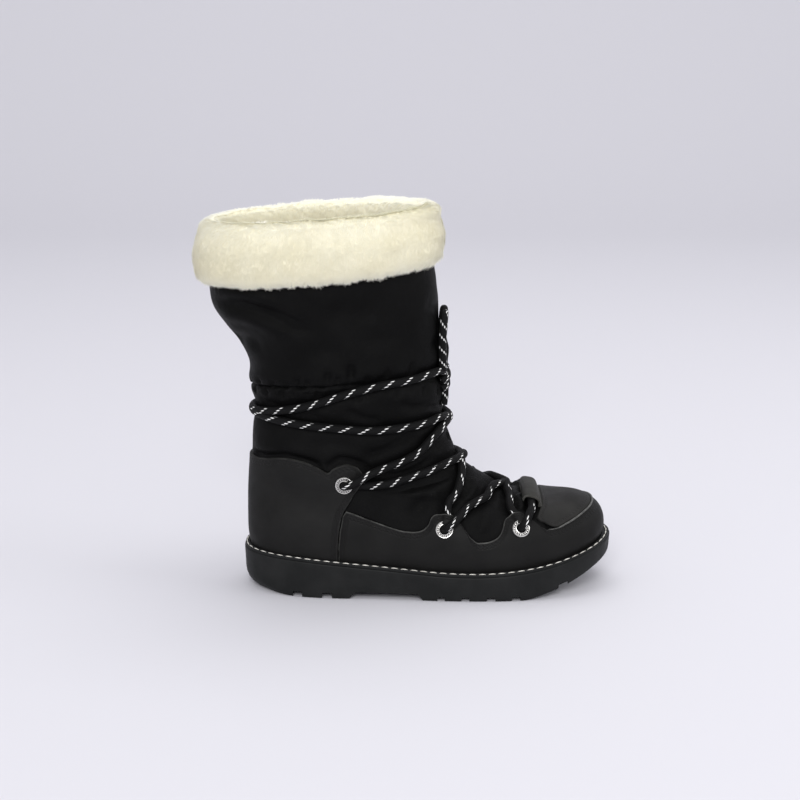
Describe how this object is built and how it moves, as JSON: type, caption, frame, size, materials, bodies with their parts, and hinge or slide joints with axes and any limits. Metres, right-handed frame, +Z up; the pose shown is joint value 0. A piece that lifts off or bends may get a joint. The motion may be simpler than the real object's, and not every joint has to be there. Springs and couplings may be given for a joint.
{
  "type": "apres ski boot",
  "caption": "Right snow boot with a padded nylon shaft, folded fur cuff, leather rand and heel counter, stitched welt, lugged rubber sole and a round lace wrapped round the ankle",
  "frame": {"origin": "on the floor under the middle of the heel, on the flat underside of the middle heel lug", "axes": "+X from heel to toe, +Y to the boot's inner (big toe) side, +Z up"},
  "size_m": [0.31, 0.1184, 0.2908],
  "materials": {
    "nylon": "satin padded nylon",
    "leather": "matte brushed leather",
    "rubber": "matte",
    "footbed": "felt",
    "fur": "short plush",
    "eyelet_metal": "nickel plated",
    "lace": "braided cord"
  },
  "bodies": {
    "root": {"outsole": "rubber", "welt": "rubber", "insole": "footbed", "upper": "nylon", "heel_counter": "leather", "toe_rand": "leather", "toe_plug": "leather", "vamp_loop": "leather", "fur_cuff": "fur", "eyelet_heel_outer": "eyelet_metal", "eyelet_heel_inner": "eyelet_metal", "eyelet_waist_outer": "eyelet_metal", "eyelet_waist_inner": "eyelet_metal", "eyelet_ball_outer": "eyelet_metal", "eyelet_ball_inner": "eyelet_metal", "lace_bar": "lace", "lace_cross_ball": "lace", "lace_cross_waist": "lace", "lace_wrap": "lace", "lace_knot": "lace", "lace_loop_outer": "lace", "lace_loop_inner": "lace", "lace_end_outer": "lace", "lace_end_inner": "lace"}
  },
  "joints": []
}
